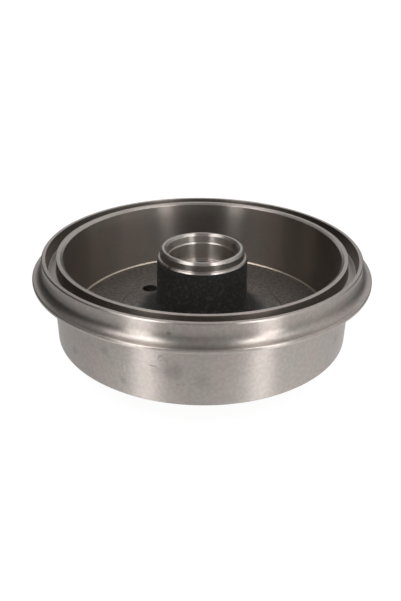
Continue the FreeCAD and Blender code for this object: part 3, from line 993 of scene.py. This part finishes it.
def white_paper():
    """Paper that is white to the camera, as bright as it is lit to the drum, and clear from
    behind: a diffuse or glossy share of the lamps plus a glow of its own."""
    material = bpy.data.materials.new("white_paper")
    material.use_nodes = True
    tree = material.node_tree
    tree.nodes.clear()
    rays = add(tree, "ShaderNodeLightPath").outputs
    seen = arithmetic(tree, "MAXIMUM", rays["Is Camera Ray"], rays["Is Transmission Ray"])
    spot = add(tree, "ShaderNodeTexCoord").outputs["Object"]
    far, near = TABLE_FADE[1], TABLE_FADE[0]
    mirrored = ramp(tree, vector_maths(tree, "LENGTH", spot), far, near, 0.0, TABLE_MIRRORED)
    white_share = arithmetic(tree, "ADD", arithmetic(tree, "MULTIPLY", seen, TABLE_WHITE),
                             arithmetic(tree, "MULTIPLY", rays["Is Glossy Ray"], mirrored))
    shade = add(tree, "ShaderNodeBsdfDiffuse", {"Color": (*[TABLE_SHADE] * 3, 1)})
    gloss = add(tree, "ShaderNodeBsdfGlossy", {"Color": (*[TABLE_GLOSS] * 3, 1),
                                               "Roughness": TABLE_ROUGHNESS})
    lit = add(tree, "ShaderNodeMixShader", {0: rays["Is Glossy Ray"], 1: shade.outputs[0],
                                            2: gloss.outputs[0]})
    glow = add(tree, "ShaderNodeEmission", {"Color": (1, 1, 1, 1), "Strength": white_share})
    front = add(tree, "ShaderNodeAddShader", {0: lit.outputs[0], 1: glow.outputs[0]})
    below = add(tree, "ShaderNodeNewGeometry").outputs["Backfacing"]
    clear = add(tree, "ShaderNodeBsdfTransparent")
    paper = add(tree, "ShaderNodeMixShader", {0: below, 1: front.outputs[0],
                                              2: clear.outputs[0]})
    add(tree, "ShaderNodeOutputMaterial", {"Surface": paper.outputs[0]})
    return material


half = TABLE_SIZE / 2
table_corners = [(x * half, y * half, TABLE_LEVEL * MM)
                 for x, y in ((-1, -1), (1, -1), (1, 1), (-1, 1))]
table_mesh = bpy.data.meshes.new("table")
table_mesh.from_pydata(table_corners, [], [(0, 1, 2, 3)])
table_mesh.materials.append(white_paper())
table = bpy.data.objects.new("table", table_mesh)
scene.collection.objects.link(table)
print("table at height, mm:", TABLE_LEVEL)

# %% [markdown]
# ### Walls, ceiling and screens
#
# What the drum mirrors above the table is painted onto the world: a dim ceiling, two pale walls
# with no clear edge, and soft-edged screens. Each screen is a product of three smooth steps, one of
# the direction round the drum and two of the elevation. The camera itself sees plain white.

# %% Surroundings
CEILING = 0.29                 # the ceiling, as a share of white
CEILING_EDGE = (34.0, 45.0)    # elevations where it starts to fade in and is full, degrees
WALLS = [(-22.0, 0.50), (-95.0, 0.23)]    # pale walls: azimuth in the studio, share of white
WALL_POWER = 2.0               # how fast a wall fades away from its middle

# share of white, azimuth, half width, elevations of foot and head, softness, degrees
SCREENS = [(0.71, 85.5, 32.0, 14.7, 66.0, 8.0),
           (4.1, 202.5, 22.5, 50.0, 68.0, 3.0),
           (2.6, 337.5, 22.5, 50.0, 68.0, 3.0),
           (0.40, 20.0, 38.0, 22.0, 52.0, 5.0),
           (0.055, 160.0, 42.0, 8.0, 46.0, 8.0)]


def towards(tree, azimuth, vector):
    """The cosine between a vector and a level direction of the studio, given in degrees."""
    a = math.radians(azimuth)
    way = tuple(turn_to_drum((math.cos(a), math.sin(a), 0)))
    return vector_maths(tree, "DOT_PRODUCT", vector, way)


def between(tree, value, measure, start, full):
    """A smooth step of a sine or cosine between its values at two angles in degrees."""
    return ramp(tree, value, measure(math.radians(start)), measure(math.radians(full)))


def surroundings(tree):
    """The brightness of the studio in each direction: ceiling + walls + screens, and white where
    the camera looks."""
    direction = add(tree, "ShaderNodeTexCoord").outputs["Generated"]
    level_way = vector_maths(tree, "NORMALIZE",
                             vector_maths(tree, "MULTIPLY", direction, (1, 1, 0)))
    rise = add(tree, "ShaderNodeSeparateXYZ", {0: direction}).outputs[2]
    ceiling = between(tree, rise, math.sin, *CEILING_EDGE)
    light = arithmetic(tree, "MULTIPLY", ceiling, CEILING)
    for azimuth, white in WALLS:
        facing = arithmetic(tree, "MAXIMUM", towards(tree, azimuth, direction), 0.0)
        wall = arithmetic(tree, "POWER", facing, WALL_POWER)
        light = arithmetic(tree, "ADD", light, arithmetic(tree, "MULTIPLY", wall, white))
    for white, azimuth, half_width, foot, head, soft in SCREENS:
        across = between(tree, towards(tree, azimuth, level_way), math.cos,
                         half_width + soft, half_width - soft)
        from_foot = between(tree, rise, math.sin, foot - soft, foot + soft)
        to_head = between(tree, rise, math.sin, head + soft, head - soft)
        screen = arithmetic(tree, "MULTIPLY", across, from_foot)
        screen = arithmetic(tree, "MULTIPLY", screen, to_head)
        light = arithmetic(tree, "ADD", light, arithmetic(tree, "MULTIPLY", screen, white))
    camera_rays = add(tree, "ShaderNodeLightPath").outputs["Is Camera Ray"]
    return arithmetic(tree, "MAXIMUM", light, camera_rays)


# %% World
world = bpy.data.worlds.new("studio")
scene.world = world
world.use_nodes = True
world.node_tree.nodes.clear()
ground = add(world.node_tree, "ShaderNodeBackground",
             {"Color": (1, 1, 1, 1), "Strength": surroundings(world.node_tree)})
add(world.node_tree, "ShaderNodeOutputWorld", {"Surface": ground.outputs[0]})
scene.view_settings.view_transform = "Standard"
print("nodes in the world:", len(world.node_tree.nodes))

# %% [markdown]
# ### Softboxes
#
# Two columns of narrow softboxes stand to the left and right of the camera and reach overhead.
# Each column draws one bar of light down every turned wall and one spoke across every flat face. A
# column has three boxes, because the bars in the photograph are brighter at the rim and on the
# level faces than on the upright walls.

# %% Softboxes
SOFTBOX_WIDTH = 0.09    # m

# name, distance from the axis mm, foot and head (azimuth in degrees, height in mm), share of white
SOFTBOXES = [
    ("left_foot_softbox", 360.0, (236.4, -5.0), (236.4, 120.0), 2.3),
    ("left_middle_softbox", 360.0, (236.4, 120.0), (235.4, 430.0), 1.6),
    ("left_head_softbox", 360.0, (235.0, 430.0), (232.0, 745.0), 3.3),
    ("right_foot_softbox", 408.0, (308.2, -5.0), (308.2, 185.0), 2.4),
    ("right_middle_softbox", 408.0, (308.2, 185.0), (308.4, 430.0), 1.6),
    ("right_head_softbox", 408.0, (308.5, 430.0), (313.0, 935.0), 4.4),
]


def softbox(name, distance, foot, head, light):
    """A softbox that leans round the axis at one distance from it. Its power is
    light * pi * area, so that a surface facing it mirrors that share of white."""
    ends = []
    for azimuth, height in (foot, head):
        a = math.radians(azimuth)
        end = turn_to_drum((distance * math.cos(a), distance * math.sin(a), height))
        ends.append(Vector(end * MM))
    upright = (ends[1] - ends[0]).normalized()
    middle = (ends[0] + ends[1]) / 2
    outwards = Vector((middle.x, middle.y, 0))
    outwards = (outwards - upright * outwards.dot(upright)).normalized()
    lamp = bpy.data.lights.new(name, "AREA")
    lamp.shape = "RECTANGLE"
    lamp.size, lamp.size_y = SOFTBOX_WIDTH, (ends[1] - ends[0]).length
    lamp.energy = light * math.pi * lamp.size * lamp.size_y
    holder = bpy.data.objects.new(name, lamp)
    scene.collection.objects.link(holder)
    turn = Matrix((upright.cross(outwards), upright, outwards)).transposed()
    holder.matrix_world = Matrix.Translation(middle) @ turn.to_4x4()
    holder.visible_camera = False
    return lamp


for row in SOFTBOXES:
    print(row[0], "power, W: %.2f" % softbox(*row).energy)
